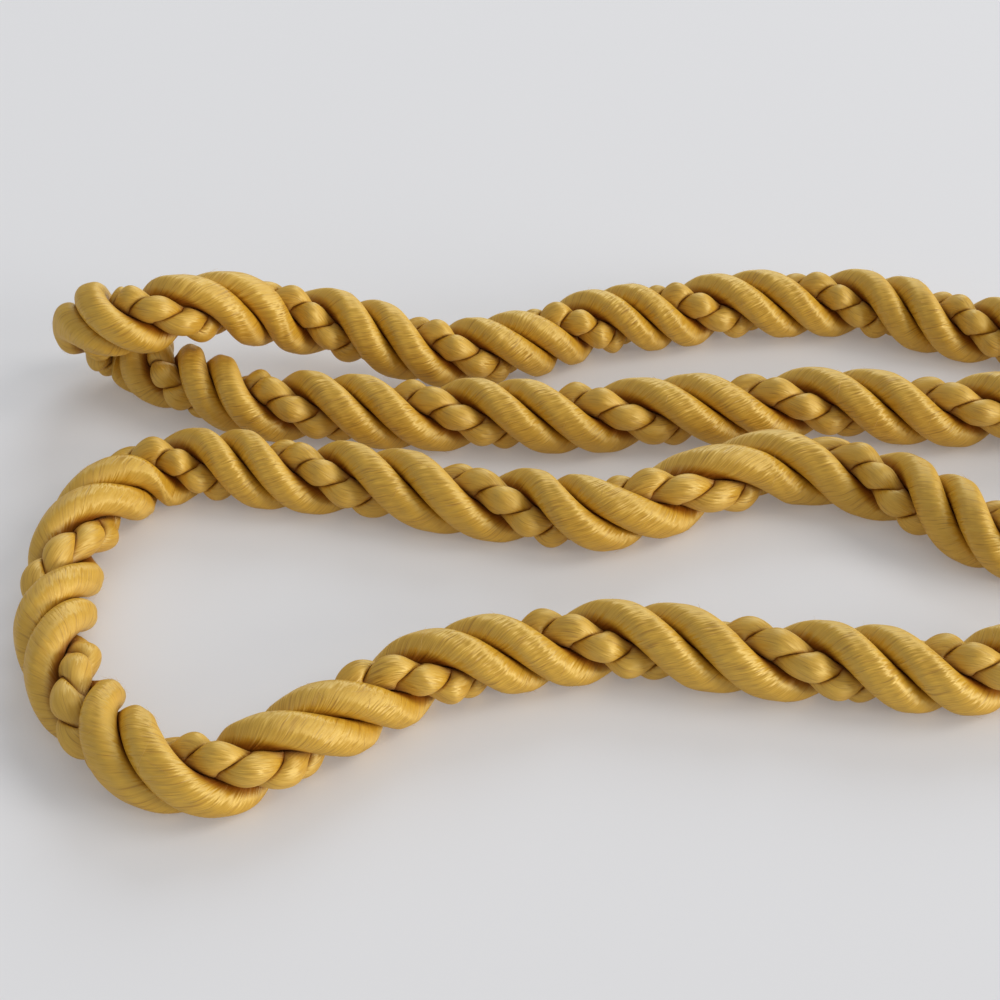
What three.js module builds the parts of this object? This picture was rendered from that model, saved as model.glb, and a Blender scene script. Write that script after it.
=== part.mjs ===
// A thick rope for holding back a curtain, laid down in loops on a table. Three strands are twisted
// together: two plain strands of floss and one corded strand, which is itself a pair of cords.
// Millimetres, +Z up, table at z = 0, origin under the middle of the rope's outer box.

import * as THREE from "three";

// Height of the rope's middle where it lies on the table: the plain strands press flat below it.
const RESTING_HEIGHT = 9.2;

// Points this close to the table are pressed onto it, which gives each strand its flat underside.
const PRESSED_BELOW = 0.35;

// Direction from which the turns are counted, as an angle above the table.
const FRONT_ELEVATION_DEG = 39.5;

// In a tight bend the strands are squeezed, so that they keep to this share of the bend's inner radius.
const BEND_SHARE = 0.78;
const BEND_STEP = 0.005;

// Most that the rope bends from one ring of points to the next.
const BEND_PER_RING_DEG = 7;

// How far the rounded end of a strand stands out past its last full section, and how much it narrows.
const END_BULGE = 1.6;
const END_NARROWING = 0.72;

// Plain strands: a full, squarish oval, in a share of the rope's section whose walls they keep clear of.
const PLAIN = {
  shareDeg: 110,
  clearance: 0.62,
  offset: 5.2,
  radial: 5.2,
  sideways: 5.8,
  squareness: 2.9,
  sides: 8,
  stepsPerTurn: 10,
};

// Corded strand: two cords twisted the other way, so that a row of beads shows at each turn. Its
// section has a flat-topped lobe for each cord and a groove on each side between them.
const CORDED = {
  shareDeg: 140,
  clearance: 0.5,
  offset: 4.0,
  beadsPerTurn: 7,
  stepsPerBead: 3,
  startDeg: 34,
  corners: [
    { deg: -28, reach: 5.1 },
    { deg: 28, reach: 5.1 },
    { deg: 90, reach: 3.2 },
    { deg: 152, reach: 5.1 },
    { deg: 208, reach: 5.1 },
    { deg: 270, reach: 3.2 },
  ],
};

const SATIN_GOLD = 0xb8913f;
const DEEP_GOLD = 0xa98234;

// The rope's middle line. x and y are places on the table, lift is the height above the resting
// height, and turns counts how often the corded strand has come round to the front.
const ROUTE = [
  // far run, from the right end to the left
  { x: 133, y: 73, lift: 0, turns: -0.73 },
  { x: 107, y: 81, lift: 0, turns: -0.03 },
  { x: 69, y: 95.4, lift: 0, turns: 0.96 },
  { x: 27, y: 92, lift: 0, turns: 1.93 },
  { x: -11, y: 83, lift: 0, turns: 2.97 },
  { x: -45, y: 68, lift: 1, turns: 3.95 },
  { x: -90, y: 74.4, lift: 8.4, turns: 5.03 },
  { x: -111, y: 68, lift: 17, turns: 5.53 },
  // tight fold, where the far run lies on the second run
  { x: -128, y: 58.5, lift: 21.5, turns: 5.94 },
  { x: -141, y: 56.5, lift: 21, turns: 6.3 },
  { x: -149, y: 61, lift: 17.8, turns: 6.6 },
  { x: -152.3, y: 66.5, lift: 10.5, turns: 6.9 },
  { x: -149, y: 70.5, lift: 3, turns: 7.2 },
  { x: -141, y: 69.5, lift: 0, turns: 7.5 },
  // second run, to the right
  { x: -129.5, y: 59.5, lift: 0, turns: 7.97 },
  { x: -113, y: 50, lift: 0, turns: 8.48 },
  { x: -94, y: 44, lift: 0, turns: 8.99 },
  { x: -46, y: 40, lift: 0, turns: 10.04 },
  { x: 0, y: 40, lift: 0, turns: 11.03 },
  { x: 50, y: 45, lift: 0, turns: 12.04 },
  { x: 97, y: 42, lift: 0, turns: 13 },
  // round bend at the right
  { x: 127, y: 45, lift: 0, turns: 13.65 },
  { x: 152.7, y: 21, lift: 0, turns: 14.4 },
  { x: 137, y: -10, lift: 0, turns: 15.2 },
  { x: 103, y: -16, lift: 0, turns: 16 },
  // third run, to the left
  { x: 65, y: 11, lift: 0, turns: 17.08 },
  { x: 41, y: 17, lift: 0, turns: 17.51 },
  { x: 16, y: 7, lift: 0, turns: 17.95 },
  { x: -10, y: -3, lift: 0, turns: 18.48 },
  { x: -34, y: 1, lift: 0, turns: 19.05 },
  { x: -80, y: 12, lift: 0, turns: 19.98 },
  { x: -123, y: 17, lift: 0, turns: 21.05 },
  // wide bend at the left
  { x: -139, y: 3, lift: 0, turns: 21.52 },
  { x: -146, y: -22, lift: 0, turns: 21.98 },
  { x: -144, y: -50, lift: 0, turns: 22.5 },
  { x: -127, y: -84, lift: 0, turns: 23.27 },
  { x: -97, y: -95, lift: 0, turns: 23.93 },
  // near run, to the right end
  { x: -57, y: -65, lift: 0, turns: 24.98 },
  { x: -11, y: -52, lift: 0, turns: 26.02 },
  { x: 40, y: -59, lift: 0, turns: 27.03 },
  { x: 62, y: -61.5, lift: 0, turns: 27.52 },
  { x: 84, y: -62, lift: 0, turns: 28 },
  { x: 104, y: -51, lift: 0, turns: 28.5 },
];

const CURVE_TENSION = 0.5;
const middleLine = smoothCurve((row) => [row.x, row.y, RESTING_HEIGHT + row.lift]);
const turnCount = smoothCurve((row) => [row.turns, 0, 0]);

// A smooth curve through one point for each row of the route.
function smoothCurve(pointOf) {
  const points = ROUTE.map((row) => new THREE.Vector3(...pointOf(row)));
  return new THREE.CatmullRomCurve3(points, false, "catmullrom", CURVE_TENSION);
}

// Places along the curves, as shares of their whole span, close enough for the twist and the bends.
function stations(stepsPerTurn) {
  const spans = ROUTE.length - 1;
  const places = [];
  for (let row = 0; row < spans; row += 1) {
    const twist = ROUTE[row + 1].turns - ROUTE[row].turns;
    const bend = middleLine.getTangent(row / spans).angleTo(middleLine.getTangent((row + 1) / spans));
    const bendSteps = THREE.MathUtils.radToDeg(bend) / BEND_PER_RING_DEG;
    const steps = Math.round(Math.max(twist * stepsPerTurn, bendSteps));
    for (let step = 0; step < steps; step += 1) {
      places.push((row + step / steps) / spans);
    }
  }
  places.push(1);
  return places;
}

// The rope's own axes at a place: along it, towards the front, and across both.
function ropeFrame(place) {
  const elevation = THREE.MathUtils.degToRad(FRONT_ELEVATION_DEG);
  const front = new THREE.Vector3(0, -Math.cos(elevation), Math.sin(elevation));
  const along = middleLine.getTangent(place);
  front.addScaledVector(along, -front.dot(along)).normalize();
  const across = new THREE.Vector3().crossVectors(along, front);
  const middle = middleLine.getPoint(place);
  const turns = turnCount.getPoint(place).x;
  return { middle, along, front, across, turns, bend: bendAt(place) };
}

// How sharply the rope bends at a place, as a vector towards the inside of the bend.
function bendAt(place) {
  const before = Math.max(place - BEND_STEP, 0);
  const after = Math.min(place + BEND_STEP, 1);
  const swing = middleLine.getTangent(after).sub(middleLine.getTangent(before));
  return swing.divideScalar(middleLine.getPoint(after).distanceTo(middleLine.getPoint(before)));
}

// Distance from a strand's centre to the two flat walls of its share of the rope, at an angle.
function wallReach(strand, angle) {
  const half = THREE.MathUtils.degToRad(strand.shareDeg / 2);
  const wall = strand.offset * Math.sin(half) - strand.clearance;
  const facing = Math.max(Math.cos(angle - Math.PI / 2 - half), Math.cos(angle + Math.PI / 2 + half));
  return facing > 0 ? wall / facing : Infinity;
}

// Plain section: an oval, flattened where it lies against the other strands.
function plainSection(strand) {
  const corners = [];
  for (let side = 0; side < strand.sides; side += 1) {
    const angle = (side / strand.sides) * 2 * Math.PI;
    const outward = Math.abs(Math.cos(angle) / strand.radial) ** strand.squareness;
    const sideways = Math.abs(Math.sin(angle) / strand.sideways) ** strand.squareness;
    const oval = (outward + sideways) ** (-1 / strand.squareness);
    corners.push({ angle, reach: Math.min(oval, wallReach(strand, angle)) });
  }
  return corners;
}

// Corded section: the outline of the two cords side by side, turned by the twist of the pair.
function cordedSection(strand, turns) {
  const twist = -turns * strand.beadsPerTurn * Math.PI;
  return strand.corners.map(({ deg, reach }) => {
    const angle = THREE.MathUtils.degToRad(strand.startDeg + deg) + twist;
    return { angle, reach: Math.min(reach, wallReach(strand, angle)) };
  });
}

// One ring of points of a strand. narrowing shrinks it about its centre and shift moves it along.
function strandRing(strand, section, frame, middleDeg, narrowing = 1, shift = 0) {
  const lay = frame.turns * 2 * Math.PI + THREE.MathUtils.degToRad(middleDeg);
  return section(strand, frame.turns).map(({ angle, reach }) => {
    const outward = strand.offset + narrowing * reach * Math.cos(angle);
    const sideways = narrowing * reach * Math.sin(angle);
    const toFront = outward * Math.cos(lay) - sideways * Math.sin(lay);
    const toAcross = outward * Math.sin(lay) + sideways * Math.cos(lay);
    const point = frame.front.clone().multiplyScalar(toFront).addScaledVector(frame.across, toAcross);
    point.multiplyScalar(BEND_SHARE / Math.max(BEND_SHARE, point.dot(frame.bend)));
    point.add(frame.middle).addScaledVector(frame.along, shift);
    point.z = point.z < PRESSED_BELOW ? 0 : point.z;
    return point;
  });
}

// A closed solid through rings of points. Each patch between two rings is split along its shorter
// diagonal, and a fan about the middle closes each end.
function loft(rings) {
  const sides = rings[0].length;
  const points = rings.flat();
  const faces = [];
  for (let ring = 0; ring < rings.length - 1; ring += 1) {
    for (let side = 0; side < sides; side += 1) {
      const next = (side + 1) % sides;
      const a = ring * sides + side;
      const b = ring * sides + next;
      const c = a + sides;
      const d = b + sides;
      const alongAD = points[a].distanceTo(points[d]) < points[b].distanceTo(points[c]);
      faces.push(...(alongAD ? [a, b, d, a, d, c] : [a, b, c, b, d, c]));
    }
  }
  const lastRing = (rings.length - 1) * sides;
  const startMiddle = points.push(ringMiddle(rings[0])) - 1;
  const endMiddle = points.push(ringMiddle(rings[rings.length - 1])) - 1;
  for (let side = 0; side < sides; side += 1) {
    const next = (side + 1) % sides;
    faces.push(startMiddle, next, side);
    faces.push(endMiddle, lastRing + side, lastRing + next);
  }
  const geometry = new THREE.BufferGeometry().setFromPoints(points);
  geometry.setIndex(faces);
  geometry.computeVertexNormals();
  return geometry;
}

function ringMiddle(ring) {
  const middle = new THREE.Vector3();
  ring.forEach((point) => middle.add(point));
  return middle.divideScalar(ring.length);
}

// One strand from end to end: a ring at every station, and a narrower one past each end.
function strandMesh(name, colour, strand, section, stepsPerTurn, middleDeg) {
  const places = stations(stepsPerTurn);
  const rings = places.map((place) => strandRing(strand, section, ropeFrame(place), middleDeg));
  rings.unshift(strandRing(strand, section, ropeFrame(0), middleDeg, END_NARROWING, -END_BULGE));
  rings.push(strandRing(strand, section, ropeFrame(1), middleDeg, END_NARROWING, END_BULGE));
  const material = new THREE.MeshStandardMaterial({ color: colour, roughness: 0.45, metalness: 0 });
  const mesh = new THREE.Mesh(loft(rings), material);
  mesh.name = name;
  return mesh;
}

const plainMiddleDeg = (CORDED.shareDeg + PLAIN.shareDeg) / 2;
const cordedSteps = CORDED.beadsPerTurn * CORDED.stepsPerBead;

const rope = new THREE.Group();
rope.add(strandMesh("plain_strand_a", SATIN_GOLD, PLAIN, plainSection, PLAIN.stepsPerTurn, plainMiddleDeg));
rope.add(strandMesh("plain_strand_b", SATIN_GOLD, PLAIN, plainSection, PLAIN.stepsPerTurn, -plainMiddleDeg));
rope.add(strandMesh("corded_strand", DEEP_GOLD, CORDED, cordedSection, cordedSteps, 0));

export default rope;
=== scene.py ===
import math

import bpy
import numpy as np
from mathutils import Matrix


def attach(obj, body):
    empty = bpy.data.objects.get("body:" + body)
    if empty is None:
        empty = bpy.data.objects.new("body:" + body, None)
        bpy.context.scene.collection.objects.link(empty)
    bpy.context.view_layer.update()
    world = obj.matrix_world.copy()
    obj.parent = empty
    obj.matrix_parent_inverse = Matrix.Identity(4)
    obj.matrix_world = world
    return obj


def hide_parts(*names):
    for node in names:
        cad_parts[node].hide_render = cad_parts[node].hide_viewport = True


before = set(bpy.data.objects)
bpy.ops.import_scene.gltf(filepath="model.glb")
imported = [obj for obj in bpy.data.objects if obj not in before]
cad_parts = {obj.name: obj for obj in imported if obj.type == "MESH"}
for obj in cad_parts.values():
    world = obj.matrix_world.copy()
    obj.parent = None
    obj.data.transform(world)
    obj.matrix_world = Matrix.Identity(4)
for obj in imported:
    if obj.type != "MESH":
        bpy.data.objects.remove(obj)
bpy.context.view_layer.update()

# A thick rope for holding back a curtain, laid down in loops: two plain strands of gold floss and one
# corded strand, which is a pair of cords twisted the other way. Metres, +Z up, floor at z = 0.

# The rope's middle line: x and y on the floor, lift above the resting height, turns of the lay.
ROUTE = [
    # far run, from the right end to the left
    (0.133, 0.073, 0.0, -0.73),
    (0.107, 0.081, 0.0, -0.03),
    (0.069, 0.0954, 0.0, 0.96),
    (0.027, 0.092, 0.0, 1.93),
    (-0.011, 0.083, 0.0, 2.97),
    (-0.045, 0.068, 0.001, 3.95),
    (-0.090, 0.0744, 0.0084, 5.03),
    (-0.111, 0.068, 0.017, 5.53),
    # tight fold, where the far run lies on the second run
    (-0.128, 0.0585, 0.0215, 5.94),
    (-0.141, 0.0565, 0.021, 6.3),
    (-0.149, 0.061, 0.0178, 6.6),
    (-0.1523, 0.0665, 0.0105, 6.9),
    (-0.149, 0.0705, 0.003, 7.2),
    (-0.141, 0.0695, 0.0, 7.5),
    # second run, to the right
    (-0.1295, 0.0595, 0.0, 7.97),
    (-0.113, 0.050, 0.0, 8.48),
    (-0.094, 0.044, 0.0, 8.99),
    (-0.046, 0.040, 0.0, 10.04),
    (0.0, 0.040, 0.0, 11.03),
    (0.050, 0.045, 0.0, 12.04),
    (0.097, 0.042, 0.0, 13.0),
    # round bend at the right
    (0.127, 0.045, 0.0, 13.65),
    (0.1527, 0.021, 0.0, 14.4),
    (0.137, -0.010, 0.0, 15.2),
    (0.103, -0.016, 0.0, 16.0),
    # third run, to the left
    (0.065, 0.011, 0.0, 17.08),
    (0.041, 0.017, 0.0, 17.51),
    (0.016, 0.007, 0.0, 17.95),
    (-0.010, -0.003, 0.0, 18.48),
    (-0.034, 0.001, 0.0, 19.05),
    (-0.080, 0.012, 0.0, 19.98),
    (-0.123, 0.017, 0.0, 21.05),
    # wide bend at the left
    (-0.139, 0.003, 0.0, 21.52),
    (-0.146, -0.022, 0.0, 21.98),
    (-0.144, -0.050, 0.0, 22.5),
    (-0.127, -0.084, 0.0, 23.27),
    (-0.097, -0.095, 0.0, 23.93),
    # near run, to the right end
    (-0.057, -0.065, 0.0, 24.98),
    (-0.011, -0.052, 0.0, 26.02),
    (0.040, -0.059, 0.0, 27.03),
    (0.062, -0.0615, 0.0, 27.52),
    (0.084, -0.062, 0.0, 28.0),
    (0.104, -0.051, 0.0, 28.5),
]

# Height of the rope's middle on the floor, and the elevation from which the turns are counted.
RESTING_HEIGHT = 0.0092
FRONT_ELEVATION = math.radians(39.5)

# How finely the middle line is worked out, over what length its change of bend is evened out, and how
# many of those lengths that reaches to each side.
SPAN_SAMPLES = 120
PATH_STEP = 0.00025
BEND_SOFTNESS = 0.003
BEND_SOFTNESS_REACH = 4

# In a tight bend the strands are squeezed to this share of the bend's inner radius.
BEND_SHARE = 0.78

# Where a strand meets the floor it is pressed flat, with a rounding of this size.
PRESS_ROUNDING = 0.0004

# Rounded ends: rings in each, and how far they stand out past the last full section.
END_RINGS = 6
END_BULGE = 0.0024

# Plain strands: oval, flattened against the two walls of their share of the rope's section.
PLAIN_SHARE = math.radians(110)
PLAIN_OFFSET = 0.0052
PLAIN_RADIAL = 0.0052
PLAIN_SIDEWAYS = 0.0058
PLAIN_SQUARENESS = 2.3
PLAIN_RINGS_PER_TURN = 58
PLAIN_SIDES = 52

# Spacing of a plain strand's sides: parts of an even share of the way round and of that share's cube,
# which put more sides on the outer face.
PLAIN_EVEN_PART = 0.72
PLAIN_CUBED_PART = 0.28

# Unevenness of a plain strand: swelling, with waves in turns of the lay, and low ribs, with waves in
# millimetres across the floss.
PLAIN_SWELL = 0.03
PLAIN_SWELL_WAVES = (0.37, 0.61, 1.3)
PLAIN_RIB = 0.008
PLAIN_RIB_WAVES = (2.9, 3.7, 5.3)

# Corded strand: a pair of cords whose half-round sections lie against each other. They swell unevenly,
# with waves in turns of the lay.
CORDED_SHARE = math.radians(140)
CORDED_OFFSET = 0.0043
CORD_REACH = 0.0051
CORD_FULLNESS = 0.5
CORD_TWISTS_PER_TURN = 3.5
CORD_START = math.radians(34)
CORD_RINGS_PER_TURN = 98
CORD_SIDES = 32
CORD_SWELL = 0.05
CORD_SWELL_WAVES = (0.19, 0.31, 0.83)

# Seams between the cords: shares of the cord's reach where they face outward and where they are pressed
# shut, the cosine from straight inward at which they are fully shut, and the cosine from a cord's middle
# under which painted shade darkens them.
CORD_SEAM_REACH = 0.42
CORD_PRESSED_REACH = 0.9
CORD_PRESSED_COSINE = 0.6
CORD_PAINTED_SHADE_COSINE = 0.2

# Angle about the rope from the middle of the corded strand to that of a plain strand.
PLAIN_MIDDLE = (PLAIN_SHARE + CORDED_SHARE) / 2

# Gap from each strand to the walls of its share, how sharply its outline gives way to a wall, and the
# smallest cosine that is worked with.
STRAND_GAP = 0.00004
WALL_SHARPNESS = 8
SMALLEST_COSINE = 1e-6

# Distances from the rope's middle at which the painted shade in a groove is darkest, the height from there
# to open surface where that painted shade ends, and how open the poles at the ends of a strand are.
PLAIN_PAINTED_SHADE_RADIUS = 0.0057
CORD_PAINTED_SHADE_RADIUS = 0.0042
PAINTED_SHADE_HEIGHT = 0.0024
POLE_PAINTED_OPENNESS = 0.5

# Lengths of each strand in one turn of the rope, and the slant of its floss to the strand's own line.
PLAIN_LENGTH_PER_TURN = 0.057
PLAIN_FLOSS_SLANT = math.radians(55)
CORD_LENGTH_PER_TURN = 0.082
CORD_FLOSS_SLANT = math.radians(-42)
MM_PER_METRE = 1000

# Loose fibres: how many, points along each, sides, and their longest half, greatest lift and radius.
FIBRE_COUNT = 900
FIBRE_POINTS = 9
FIBRE_SIDES = 3
FIBRE_HALF_LENGTH = 0.006
FIBRE_LIFT = 0.0012
FIBRE_RADIUS = 0.00003

# Smallest shares of that length and lift, spread of the slant, turns left bare at each end of the rope,
# greatest angle from straight outward, and the part of the radius that is lost at a fibre's ends.
FIBRE_SHORTEST = 0.3
FIBRE_LOWEST = 0.1
FIBRE_SLANT_SPREAD = 0.2
FIBRE_BARE_TURNS = 0.4
FIBRE_FACE = 1.2
FIBRE_TAPER = 0.8

# Finish of a single fibre.
FIBRE_COLOUR = (0.66, 0.42, 0.12, 1)
FIBRE_ROUGHNESS = 0.5

# Streaks of floss: width and length in millimetres, and how much finer detail is laid over them.
THREADS = (0.22, 12, 2)
BUNDLES = (0.9, 24, 2)
# Streaks that place painted shade in hairlines between threads.
HAIRLINE_SHADE_STREAKS = (0.3, 16, 1)
TILTS = (0.24, 8, 1)
BUNDLES_PART = 0.5

# Colours of the floss at values of its streaks, and what the painted shade in hairlines between threads
# and in grooves leaves of them.
WHITE = (1, 1, 1)
FLOSS_GOLDS = [
    (0.3, (0.535, 0.272, 0.017)),
    (0.5, (0.595, 0.319, 0.025)),
    (0.72, (0.655, 0.368, 0.035)),
]
PAINTED_HAIRLINE_SHADES = [(0.22, (0.68, 0.57, 0.44)), (0.41, WHITE)]
PAINTED_GROOVE_SHADES = [(0, (0.46, 0.24, 0.1)), (0.4, (0.7, 0.58, 0.43)), (0.85, WHITE)]

# How far the threads' own tilt along their length varies, and the values of its streaks at both limits.
FLOSS_TILT = 0.28
FLOSS_TILT_LEAST = 0.2
FLOSS_TILT_MOST = 0.8

# Relief of the streaks, and the gloss of the floss with its spread across the threads.
FLOSS_RELIEF = 0.0001
FLOSS_RELIEF_STRENGTH = 0.5
FLOSS_ROUGHNESS = 0.52
FLOSS_GLOSS = 1.0
FLOSS_REFRACTION = 1.8
FLOSS_GLOSS_TINT = (1.0, 0.88, 0.43, 1)
PLAIN_GLOSS_SPREAD = 0.8
CORDED_GLOSS_SPREAD = 0.6

# Camera at the photograph's place and angle.
CAMERA_PLACE = (-0.035, -0.427, 0.3634)
CAMERA_TILT = math.radians(50.5)
CAMERA_LENS_MM = 75.6
CAMERA_SENSOR_MM = 36

# Even pale surround, and soft disks of light at one distance: name, azimuth from +X and elevation in
# degrees, size across, watts and colour.
SURROUND_COLOUR = (0.96, 0.98, 1.0, 1)
SURROUND_STRENGTH = 0.48
WARM_LIGHT = (1.0, 0.985, 0.95)
COOL_LIGHT = (0.8, 0.9, 1.0)
LIGHT_DISTANCE = 5.0
LIGHTS = [
    ("front", 338, 11, 2.0, 140.0, WARM_LIGHT),
    ("key", 2, 40, 2.5, 62.0, WARM_LIGHT),
    ("back", 78, 30, 2.9, 92.0, COOL_LIGHT),
]

# Floor: half its width, and its pale finish with a faint glow: painted light that lifts the shadows on it
# and lights the rope from below.
FLOOR_HALF = 12.0
FLOOR_COLOUR = (0.66, 0.645, 0.65, 1)
FLOOR_GLOW_COLOUR = (1.0, 1.0, 1.0, 1)
FLOOR_GLOW = 0.14
FLOOR_ROUGHNESS = 0.9
FLOOR_GLOSS = 0.1


def smooth_route():
    """Middle line and turns, evenly spaced along the rope, as rows of x, y, z and turns.

    On each span the line is the cubic through both rows of the route whose slope at a row is half
    the step between its neighbours. A bell-shaped weighting then evens out the change of bend.
    """
    rows = np.array(ROUTE)
    rows[:, 2] += RESTING_HEIGHT
    rows = np.vstack([2 * rows[:1] - rows[1:2], rows, 2 * rows[-1:] - rows[-2:-1]])
    slopes = (rows[2:] - rows[:-2])[:, None] / 2
    starts, ends = rows[1:-2, None], rows[2:-1, None]
    t = np.linspace(0, 1, SPAN_SAMPLES, endpoint=False)[None, :, None]
    spans = starts + t * slopes[:-1]
    spans = spans + t**2 * (3 * (ends - starts) - 2 * slopes[:-1] - slopes[1:])
    spans = spans + t**3 * (2 * (starts - ends) + slopes[:-1] + slopes[1:])
    line = np.vstack([spans.reshape(-1, 4), rows[-2:-1]])
    line = at_distances(line, np.arange(0, distances(line)[-1], PATH_STEP))
    reach = int(BEND_SOFTNESS_REACH * BEND_SOFTNESS / PATH_STEP)
    weights = np.exp(-0.5 * (np.arange(-reach, reach + 1) * PATH_STEP / BEND_SOFTNESS) ** 2)
    weights /= weights.sum()
    padded = np.pad(line, ((reach, reach), (0, 0)), mode="reflect", reflect_type="odd")
    return np.stack([np.convolve(column, weights, "valid") for column in padded.T], axis=1)


def distances(line):
    """Distance along a line of points, from its first point to each of them."""
    steps = np.linalg.norm(np.diff(line[:, :3], axis=0), axis=1)
    return np.concatenate([[0], np.cumsum(steps)])


def at_distances(line, wanted):
    """Each column of a line, read off at the wanted distances along it."""
    along = distances(line)
    return np.stack([np.interp(wanted, along, column) for column in line.T], axis=1)


def unit(vectors):
    """Each vector divided by its own length."""
    return vectors / np.linalg.norm(vectors, axis=-1, keepdims=True)


def rope_axes(line, places):
    """The rope's own axes at distances along it.

    along is the line's direction, front is the counting direction made square to it, and across is
    square to both. bend is the change of direction for each metre, towards the inside of the bend.
    """
    along = unit(np.gradient(line[:, :3], axis=0))
    bend = np.gradient(along, axis=0) / PATH_STEP
    rows = at_distances(np.hstack([line, along, bend]), places)
    along = unit(rows[:, 4:7])
    front = np.array([0, -math.cos(FRONT_ELEVATION), math.sin(FRONT_ELEVATION)])
    front = unit(front - along * (along @ front)[:, None])
    return {
        "middle": rows[:, :3],
        "turns": rows[:, 3],
        "along": along,
        "front": front,
        "across": np.cross(along, front),
        "bend": rows[:, 7:10],
    }


def rope_rings(line, rings_per_turn):
    """The rope's own axes at evenly spaced rings, with END_RINGS more that round off each end.

    At an end the rings narrow and move out by the cosine and sine of a quarter turn.
    """
    length = distances(line)[-1]
    count = round((line[-1, 3] - line[0, 3]) * rings_per_turn)
    rounding = np.linspace(0, math.pi / 2, END_RINGS + 2)[1:-1]
    places = [np.zeros(END_RINGS), np.linspace(0, length, count), np.full(END_RINGS, length)]
    shift = [-np.sin(rounding[::-1]), np.zeros(count), np.sin(rounding)]
    narrowing = [np.cos(rounding[::-1]), np.ones(count), np.cos(rounding)]
    rings = rope_axes(line, np.concatenate(places))
    rings["middle"] = rings["middle"] + rings["along"] * END_BULGE * np.concatenate(shift)[:, None]
    rings["narrowing"] = np.concatenate(narrowing)
    return rings


def lay_up(rings, middle_angle, outward, sideways):
    """Points of a strand's section, carried along the rope and turned with its lay.

    outward and sideways are the section's coordinates from the rope's middle, one row for each ring.
    A point on the inside of a tight bend is drawn in to BEND_SHARE of the bend's radius. One under the
    floor is pressed onto it: its height becomes the mean of itself and its own size, which is rounded
    off near zero.
    """
    lay = (2 * math.pi * rings["turns"] + middle_angle)[:, None]
    to_front = outward * np.cos(lay) - sideways * np.sin(lay)
    to_across = outward * np.sin(lay) + sideways * np.cos(lay)
    points = to_front[..., None] * rings["front"][:, None]
    points = points + to_across[..., None] * rings["across"][:, None]
    inward = (points * rings["bend"][:, None]).sum(-1, keepdims=True)
    points = points * BEND_SHARE / np.maximum(BEND_SHARE, inward) + rings["middle"][:, None]
    height = points[..., 2]
    points[..., 2] = (height + np.sqrt(height**2 + PRESS_ROUNDING**2)) / 2
    return points


def wall_reach(share, offset, angle):
    """Distance from a strand's centre to the nearer flat wall of its share of the rope, at an angle.

    It is the wall's distance, less the gap, over the cosine of the angle from the wall's facing.
    """
    wall = offset * math.sin(share / 2) - STRAND_GAP
    facing = np.maximum(np.cos(angle - math.pi / 2 - share / 2), np.cos(angle + math.pi / 2 + share / 2))
    return wall / np.maximum(facing, SMALLEST_COSINE)


def softer_of(first, second):
    """The smaller of two reaches, rounded where they cross.

    Both are raised to the negative of WALL_SHARPNESS and added, and that root is taken of the sum.
    """
    total = first**-WALL_SHARPNESS + second**-WALL_SHARPNESS
    return total ** (-1 / WALL_SHARPNESS)


def waves(seed, places, lengths):
    """A smooth uneven value about 0 along places: the mean of sine waves of the given lengths."""
    phases = np.random.default_rng(seed).uniform(0, 2 * math.pi, len(lengths))
    sines = [np.sin(2 * math.pi * places / length + phase) for length, phase in zip(lengths, phases)]
    return np.mean(sines, axis=0)


def floss_map(around, along, slant):
    """Map coordinates in millimetres: first across the floss, then along it, at a slant to the strand."""
    across_floss = around * math.cos(slant) + along * math.sin(slant)
    along_floss = along * math.cos(slant) - around * math.sin(slant)
    return np.stack([across_floss, along_floss], axis=-1) * MM_PER_METRE


def painted_shade_openness(outward, sideways, painted_shade_radius):
    """Painted shade of a groove: 0 deep in it and 1 on the open surface, from the distance to the rope's
    middle.
    """
    return np.clip((np.hypot(outward, sideways) - painted_shade_radius) / PAINTED_SHADE_HEIGHT, 0, 1)


def plain_oval(angle):
    """Reach of the plain strand's full oval from its centre, at an angle from straight outward.

    The oval is squarish: the outward and sideways parts, each over its own half-width and raised to
    PLAIN_SQUARENESS, add up to 1.
    """
    outward = abs(np.cos(angle) / PLAIN_RADIAL) ** PLAIN_SQUARENESS
    sideways = abs(np.sin(angle) / PLAIN_SIDEWAYS) ** PLAIN_SQUARENESS
    return (outward + sideways) ** (-1 / PLAIN_SQUARENESS)


def plain_strand(name, line, middle_angle, seed, material):
    """A plain strand: an oval section pressed against its neighbours, slightly uneven along the rope.

    The oval's reach is multiplied by slow waves along the rope and by low ribs across the floss, and
    gives way to the walls of the strand's share.
    """
    rings = rope_rings(line, PLAIN_RINGS_PER_TURN)
    share = np.linspace(-1, 1, PLAIN_SIDES + 1)[None]
    angle = math.pi * (PLAIN_EVEN_PART * share + PLAIN_CUBED_PART * share**3)
    turns = rings["turns"][:, None]
    uneven = 1 + PLAIN_SWELL * waves(seed, turns, PLAIN_SWELL_WAVES)
    floss = floss_map(angle * PLAIN_RADIAL, turns * PLAIN_LENGTH_PER_TURN, PLAIN_FLOSS_SLANT)
    ribs = 1 + PLAIN_RIB * waves(seed + 1, floss[..., 0], PLAIN_RIB_WAVES)
    walls = wall_reach(PLAIN_SHARE, PLAIN_OFFSET, angle)
    reach = softer_of(plain_oval(angle) * uneven * ribs, walls) * rings["narrowing"][:, None]
    outward, sideways = PLAIN_OFFSET + reach * np.cos(angle), reach * np.sin(angle)
    points = lay_up(rings, middle_angle, outward, sideways)
    return tube_mesh(name, points, floss, painted_shade_openness(outward, sideways, PLAIN_PAINTED_SHADE_RADIUS), material)


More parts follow.
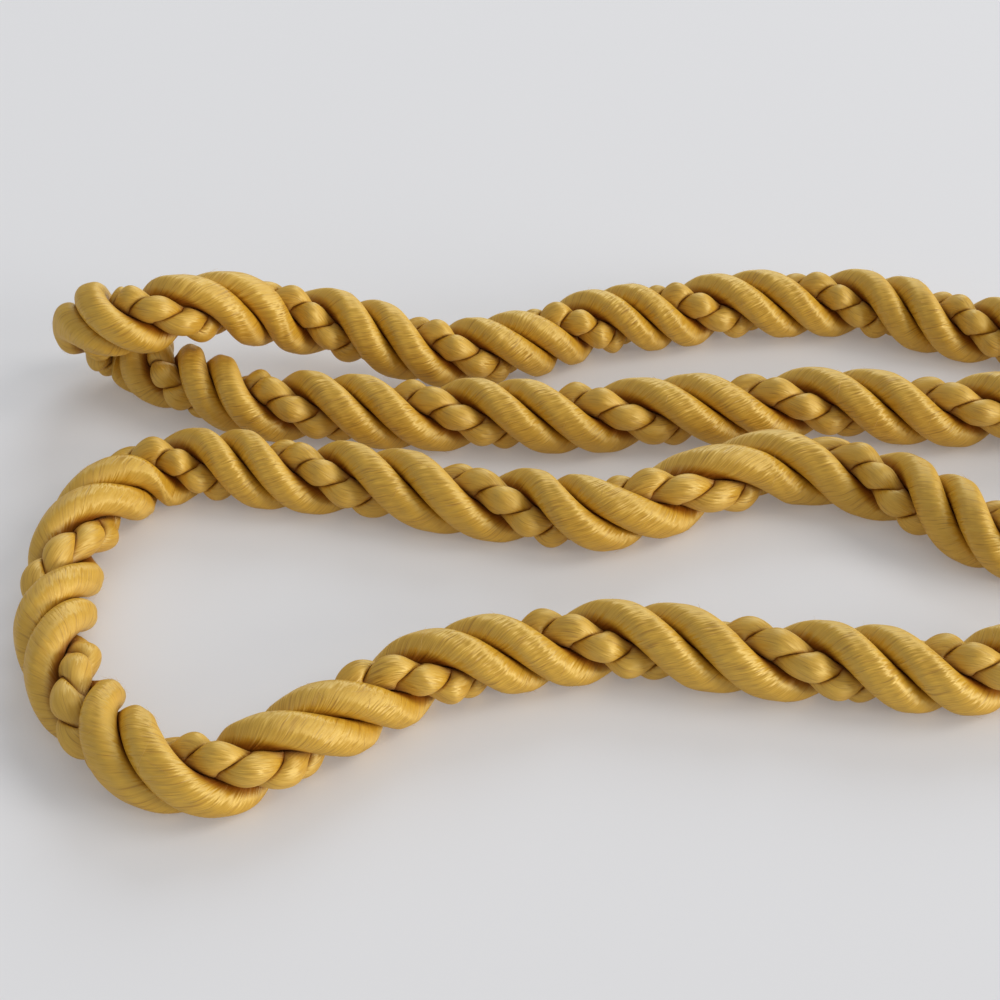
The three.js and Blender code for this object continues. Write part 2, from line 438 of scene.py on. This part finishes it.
def twisted_cord(name, line, start_angle, seed, material):
    """One of the pair of cords: a half-round section that turns about the corded strand's centre.

    The section's reach goes from CORD_REACH at the cord's middle down to a share of it at the seams,
    with a low power of the cosine of the angle between. The seams are deep where they face outward and
    pressed shut inside the rope. The flat side lies against the other cord.
    """
    rings = rope_rings(line, CORD_RINGS_PER_TURN)
    share = np.linspace(-1, 1, CORD_SIDES + 1)[None]
    from_middle = math.pi / 2 * np.sin(math.pi / 2 * share)
    turns = rings["turns"][:, None]
    angle = from_middle + start_angle - 2 * math.pi * CORD_TWISTS_PER_TURN * turns
    uneven = 1 + CORD_SWELL * waves(seed, turns, CORD_SWELL_WAVES)
    rise = np.maximum(np.cos(from_middle), SMALLEST_COSINE) ** CORD_FULLNESS
    pressed = np.clip(-np.cos(angle) / CORD_PRESSED_COSINE, 0, 1)
    seam_reach = CORD_SEAM_REACH + (CORD_PRESSED_REACH - CORD_SEAM_REACH) * pressed
    outline = CORD_REACH * (seam_reach + (1 - seam_reach) * rise)
    walls = wall_reach(CORDED_SHARE, CORDED_OFFSET, angle)
    reach = softer_of(outline * uneven, walls) * rings["narrowing"][:, None] * (abs(share) < 1)
    outward, sideways = CORDED_OFFSET + reach * np.cos(angle), reach * np.sin(angle)
    points = lay_up(rings, 0, outward, sideways)
    floss = floss_map(from_middle * CORD_REACH, turns * CORD_LENGTH_PER_TURN, CORD_FLOSS_SLANT)
    # Painted shade along the seams between the cords, multiplied into the painted groove shade.
    seam = np.clip(np.cos(from_middle) / CORD_PAINTED_SHADE_COSINE, 0, 1)
    return tube_mesh(name, points, floss, painted_shade_openness(outward, sideways, CORD_PAINTED_SHADE_RADIUS) * seam, material)


def tube_mesh(name, points, floss, shade, material):
    """A closed mesh through rings of points, with a pole at each end in the middle of its ring.

    The last column of points repeats the first, which is welded, while the floss map keeps both.
    """
    count, sides = points.shape[0], points.shape[1] - 1
    ring = np.arange(count - 1)[:, None]
    side = np.arange(sides)[None]
    after = (side + 1) % sides
    corners = [
        ring * sides + side,
        ring * sides + after,
        (ring + 1) * sides + after,
        (ring + 1) * sides + side,
    ]
    walls = np.stack(corners, axis=-1).reshape(-1, 4)
    first_pole, last_pole = count * sides, count * sides + 1
    last_ring = (count - 1) * sides
    flat_side, flat_after = side.ravel(), after.ravel()
    caps = np.vstack([
        np.stack([np.full(sides, first_pole), flat_after, flat_side], axis=1),
        np.stack([np.full(sides, last_pole), last_ring + flat_side, last_ring + flat_after], axis=1),
    ])
    poles = points[[0, -1], :-1].mean(axis=1)
    mesh = bpy.data.meshes.new(name)
    mesh.vertices.add(count * sides + 2)
    mesh.vertices.foreach_set("co", np.vstack([points[:, :-1].reshape(-1, 3), poles]).ravel())
    mesh.loops.add(walls.size + caps.size)
    mesh.loops.foreach_set("vertex_index", np.concatenate([walls.ravel(), caps.ravel()]))
    mesh.polygons.add(len(walls) + len(caps))
    wall_starts = np.arange(len(walls)) * 4
    cap_starts = walls.size + np.arange(len(caps)) * 3
    mesh.polygons.foreach_set("loop_start", np.concatenate([wall_starts, cap_starts]))
    mesh.polygons.foreach_set("use_smooth", np.ones(len(walls) + len(caps), bool))
    wall_map = np.stack([floss[:-1, :-1], floss[:-1, 1:], floss[1:, 1:], floss[1:, :-1]], axis=2)
    first_cap = np.stack([floss[0, :-1], floss[0, 1:], floss[0, :-1]], axis=1)
    last_cap = np.stack([floss[-1, :-1], floss[-1, :-1], floss[-1, 1:]], axis=1)
    corner_map = np.concatenate([wall_map.ravel(), first_cap.ravel(), last_cap.ravel()])
    mesh.uv_layers.new(name="floss").data.foreach_set("uv", corner_map)
    # Openness to the painted shade of grooves and seams, kept on each point for the floss's colour.
    shades = np.concatenate([shade[:, :-1].ravel(), [POLE_PAINTED_OPENNESS, POLE_PAINTED_OPENNESS]])
    mesh.attributes.new("painted_shade_openness", "FLOAT", "POINT").data.foreach_set("value", shades)
    mesh.update(calc_edges=True)
    return rope_piece(name, mesh, material)


def loose_fibres(name, line, seed, material):
    """Fine fibres that have worked loose from the plain strands, joined in one mesh.

    Each follows the floss on a strand's outer face, and lifts away from it with the square of the
    distance from its middle. Its section is a triangle that narrows towards both ends.
    """
    rng = np.random.default_rng(seed)
    along = np.linspace(-1, 1, FIBRE_POINTS)[None]
    half_length = rng.uniform(FIBRE_SHORTEST, 1, (FIBRE_COUNT, 1)) * FIBRE_HALF_LENGTH
    lift = rng.uniform(FIBRE_LOWEST, 1, (FIBRE_COUNT, 1)) * FIBRE_LIFT * along**2
    slant = PLAIN_FLOSS_SLANT + rng.normal(0, FIBRE_SLANT_SPREAD, (FIBRE_COUNT, 1))
    first_turn, last_turn = line[0, 3] + FIBRE_BARE_TURNS, line[-1, 3] - FIBRE_BARE_TURNS
    turns = rng.uniform(first_turn, last_turn, (FIBRE_COUNT, 1))
    turns = turns + along * half_length * np.cos(slant) / PLAIN_LENGTH_PER_TURN
    angle = rng.uniform(-FIBRE_FACE, FIBRE_FACE, (FIBRE_COUNT, 1))
    angle = angle - along * half_length * np.sin(slant) / PLAIN_RADIAL
    reach = plain_oval(angle) + lift
    side = rng.choice([-1, 1], (FIBRE_COUNT, 1)) * PLAIN_MIDDLE + 0 * along
    axes = rope_axes(line, np.interp(turns.ravel(), line[:, 3], distances(line)))
    outward, sideways = PLAIN_OFFSET + reach * np.cos(angle), reach * np.sin(angle)
    points = lay_up(axes, side.ravel(), outward.reshape(-1, 1), sideways.reshape(-1, 1))
    points = points.reshape(FIBRE_COUNT, FIBRE_POINTS, 3)
    forward = unit(np.gradient(points, axis=1))
    first = unit(np.cross(forward, points - axes["middle"].reshape(points.shape)))
    second = np.cross(forward, first)
    radius = FIBRE_RADIUS * (1 - FIBRE_TAPER * along[..., None] ** 2)
    corner_turns = 2 * math.pi * np.arange(FIBRE_SIDES) / FIBRE_SIDES
    corners = [radius * (first * math.cos(turn) + second * math.sin(turn)) for turn in corner_turns]
    vertices = np.stack([points + corner for corner in corners], axis=2).reshape(-1, 3)
    in_order = np.arange(FIBRE_COUNT * FIBRE_POINTS).reshape(FIBRE_COUNT, FIBRE_POINTS)
    here = in_order[:, :-1].reshape(-1, 1) * FIBRE_SIDES
    ahead = here + FIBRE_SIDES
    corner = np.arange(FIBRE_SIDES)[None]
    after = (corner + 1) % FIBRE_SIDES
    faces = np.stack([here + corner, here + after, ahead + after, ahead + corner], axis=-1).reshape(-1, 4)
    starts = in_order[:, :1] * FIBRE_SIDES
    ends = in_order[:, -1:] * FIBRE_SIDES
    caps = np.vstack([starts + corner[:, ::-1], ends + corner])
    mesh = bpy.data.meshes.new(name)
    mesh.from_pydata(vertices.tolist(), [], faces.tolist() + caps.tolist())
    return rope_piece(name, mesh, material)


def rope_piece(name, mesh, material):
    """A piece of the rope made from a finished mesh, on the rope's one body."""
    mesh.materials.append(material)
    piece = bpy.data.objects.new(name, mesh)
    bpy.context.scene.collection.objects.link(piece)
    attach(piece, "root")
    return piece


def satin_floss(name, gloss_spread):
    """Satin floss with fine streaks along its threads, painted groove shade, and gloss spread across the
    threads.

    The threads' own tilt along their length varies from one to the next, so that a highlight breaks up
    into short strokes.
    """
    material = bpy.data.materials.new(name)
    material.use_nodes = True
    nodes, links = material.node_tree.nodes, material.node_tree.links
    surface = nodes["Principled BSDF"]
    floss = nodes.new("ShaderNodeUVMap")
    floss.uv_map = "floss"

    def streaks(across_mm, along_mm, detail):
        """Noise drawn out along the floss."""
        mapping = nodes.new("ShaderNodeMapping")
        mapping.inputs["Scale"].default_value = (1 / across_mm, 1 / along_mm, 1)
        links.new(floss.outputs["UV"], mapping.inputs["Vector"])
        noise = nodes.new("ShaderNodeTexNoise")
        noise.noise_dimensions = "2D"
        noise.inputs["Scale"].default_value = 1
        noise.inputs["Detail"].default_value = detail
        links.new(mapping.outputs["Vector"], noise.inputs["Vector"])
        return noise.outputs["Fac"]

    def blend(first, second, second_part):
        """Two values mixed, with this part of the second."""
        mix = nodes.new("ShaderNodeMix")
        mix.inputs["Factor"].default_value = second_part
        links.new(first, mix.inputs["A"])
        links.new(second, mix.inputs["B"])
        return mix.outputs["Result"]

    def ramp(value, stops):
        """Colours at places along a value, with even change between them."""
        colours = nodes.new("ShaderNodeValToRGB")
        elements = colours.color_ramp.elements
        elements[0].position, elements[1].position = stops[0][0], stops[-1][0]
        for position, _ in stops[1:-1]:
            elements.new(position)
        for element, (_, colour) in zip(elements, stops):
            element.color = (*colour, 1)
        links.new(value, colours.inputs["Fac"])
        return colours.outputs["Color"]

    def times(first, second):
        """One colour multiplied by another."""
        product = nodes.new("ShaderNodeMix")
        product.data_type = "RGBA"
        product.blend_type = "MULTIPLY"
        product.inputs["Factor"].default_value = 1
        links.new(first, product.inputs["A"])
        links.new(second, product.inputs["B"])
        return product.outputs["Result"]

    def vector(operation, first, second):
        """A vector worked out from another and a second vector or a scale."""
        maths = nodes.new("ShaderNodeVectorMath")
        maths.operation = operation
        links.new(first, maths.inputs[0])
        links.new(second, maths.inputs["Scale" if operation == "SCALE" else 1])
        return maths.outputs["Vector"]

    threads = streaks(*THREADS)
    bundles = streaks(*BUNDLES)
    together = blend(threads, bundles, BUNDLES_PART)
    colour = ramp(together, FLOSS_GOLDS)
    # Painted shade in hairlines between threads.
    painted_hairline_shade = ramp(streaks(*HAIRLINE_SHADE_STREAKS), PAINTED_HAIRLINE_SHADES)
    # Painted shade in each groove and seam: the colour darkens where a point's openness is low.
    painted_opening = nodes.new("ShaderNodeAttribute")
    painted_opening.attribute_name = "painted_shade_openness"
    painted_groove_shade = ramp(painted_opening.outputs["Fac"], PAINTED_GROOVE_SHADES)
    links.new(times(times(colour, painted_hairline_shade), painted_groove_shade), surface.inputs["Base Color"])

    tangent = nodes.new("ShaderNodeTangent")
    tangent.direction_type = "UV_MAP"
    tangent.uv_map = "floss"
    links.new(tangent.outputs["Tangent"], surface.inputs["Tangent"])
    normal = nodes.new("ShaderNodeNewGeometry").outputs["Normal"]
    tilt = nodes.new("ShaderNodeMapRange")
    tilt.inputs["From Min"].default_value = FLOSS_TILT_LEAST
    tilt.inputs["From Max"].default_value = FLOSS_TILT_MOST
    tilt.inputs["To Min"].default_value = -FLOSS_TILT
    tilt.inputs["To Max"].default_value = FLOSS_TILT
    links.new(streaks(*TILTS), tilt.inputs["Value"])
    along = vector("CROSS_PRODUCT", normal, tangent.outputs["Tangent"])
    tilted = vector("ADD", normal, vector("SCALE", along, tilt.outputs["Result"]))
    bump = nodes.new("ShaderNodeBump")
    bump.inputs["Strength"].default_value = FLOSS_RELIEF_STRENGTH
    bump.inputs["Distance"].default_value = FLOSS_RELIEF
    links.new(together, bump.inputs["Height"])
    links.new(tilted, bump.inputs["Normal"])
    links.new(bump.outputs["Normal"], surface.inputs["Normal"])
    surface.inputs["Roughness"].default_value = FLOSS_ROUGHNESS
    surface.inputs["Anisotropic"].default_value = gloss_spread
    surface.inputs["Specular IOR Level"].default_value = FLOSS_GLOSS
    surface.inputs["IOR"].default_value = FLOSS_REFRACTION
    surface.inputs["Specular Tint"].default_value = FLOSS_GLOSS_TINT
    return material


def fibre_gold():
    """Single fibres: pale gold, with a soft gloss."""
    material = bpy.data.materials.new("fibre_gold")
    material.use_nodes = True
    surface = material.node_tree.nodes["Principled BSDF"]
    surface.inputs["Base Color"].default_value = FIBRE_COLOUR
    surface.inputs["Roughness"].default_value = FIBRE_ROUGHNESS
    return material


def pale_floor():
    """A wide, pale, faintly luminous square under the rope: its glow is painted light."""
    corners = [(x * FLOOR_HALF, y * FLOOR_HALF, 0) for x, y in ((-1, -1), (1, -1), (1, 1), (-1, 1))]
    mesh = bpy.data.meshes.new("floor")
    mesh.from_pydata(corners, [], [(0, 1, 2, 3)])
    material = bpy.data.materials.new("pale_floor")
    material.use_nodes = True
    surface = material.node_tree.nodes["Principled BSDF"]
    surface.inputs["Base Color"].default_value = FLOOR_COLOUR
    surface.inputs["Emission Color"].default_value = FLOOR_GLOW_COLOUR
    surface.inputs["Emission Strength"].default_value = FLOOR_GLOW
    surface.inputs["Roughness"].default_value = FLOOR_ROUGHNESS
    surface.inputs["Specular IOR Level"].default_value = FLOOR_GLOSS
    mesh.materials.append(material)
    floor = bpy.data.objects.new("floor", mesh)
    bpy.context.scene.collection.objects.link(floor)


def soft_light(name, azimuth, elevation, size, watts, colour):
    """A large soft disk of light that faces the origin, from an azimuth and elevation in degrees."""
    light = bpy.data.lights.new(name, "AREA")
    light.shape = "DISK"
    light.size = size
    light.energy = watts
    light.color = colour
    lamp = bpy.data.objects.new(name, light)
    turn, rise = math.radians(azimuth), math.radians(elevation)
    level = LIGHT_DISTANCE * math.cos(rise)
    lamp.location = (level * math.cos(turn), level * math.sin(turn), LIGHT_DISTANCE * math.sin(rise))
    lamp.rotation_euler = (-lamp.location).to_track_quat("-Z", "Y").to_euler()
    bpy.context.scene.collection.objects.link(lamp)


def studio():
    """Camera at the photograph's angle, an even pale surround, soft lights on three sides and a floor."""
    scene = bpy.context.scene
    camera = bpy.data.cameras.new("camera")
    camera.lens = CAMERA_LENS_MM
    camera.sensor_width = CAMERA_SENSOR_MM
    viewer = bpy.data.objects.new("camera", camera)
    viewer.location = CAMERA_PLACE
    viewer.rotation_euler = (CAMERA_TILT, 0, 0)
    scene.collection.objects.link(viewer)
    scene.camera = viewer
    scene.view_settings.view_transform = "Standard"
    world = bpy.data.worlds.new("surround")
    world.use_nodes = True
    background = world.node_tree.nodes["Background"]
    background.inputs["Color"].default_value = SURROUND_COLOUR
    background.inputs["Strength"].default_value = SURROUND_STRENGTH
    scene.world = world
    for light in LIGHTS:
        soft_light(*light)
    pale_floor()


studio()
line = smooth_route()
plain_floss = satin_floss("plain_floss", PLAIN_GLOSS_SPREAD)
corded_floss = satin_floss("corded_floss", CORDED_GLOSS_SPREAD)
plain_a = plain_strand("plain_floss_a", line, PLAIN_MIDDLE, seed=11, material=plain_floss)
plain_b = plain_strand("plain_floss_b", line, -PLAIN_MIDDLE, seed=23, material=plain_floss)
cords = [
    twisted_cord("twisted_cord_a", line, CORD_START, seed=31, material=corded_floss),
    twisted_cord("twisted_cord_b", line, CORD_START + math.pi, seed=47, material=corded_floss),
]
fibres = loose_fibres("loose_fibres", line, seed=71, material=fibre_gold())
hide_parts("plain_strand_a")
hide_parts("plain_strand_b")
for piece in cords:
    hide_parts("corded_strand")
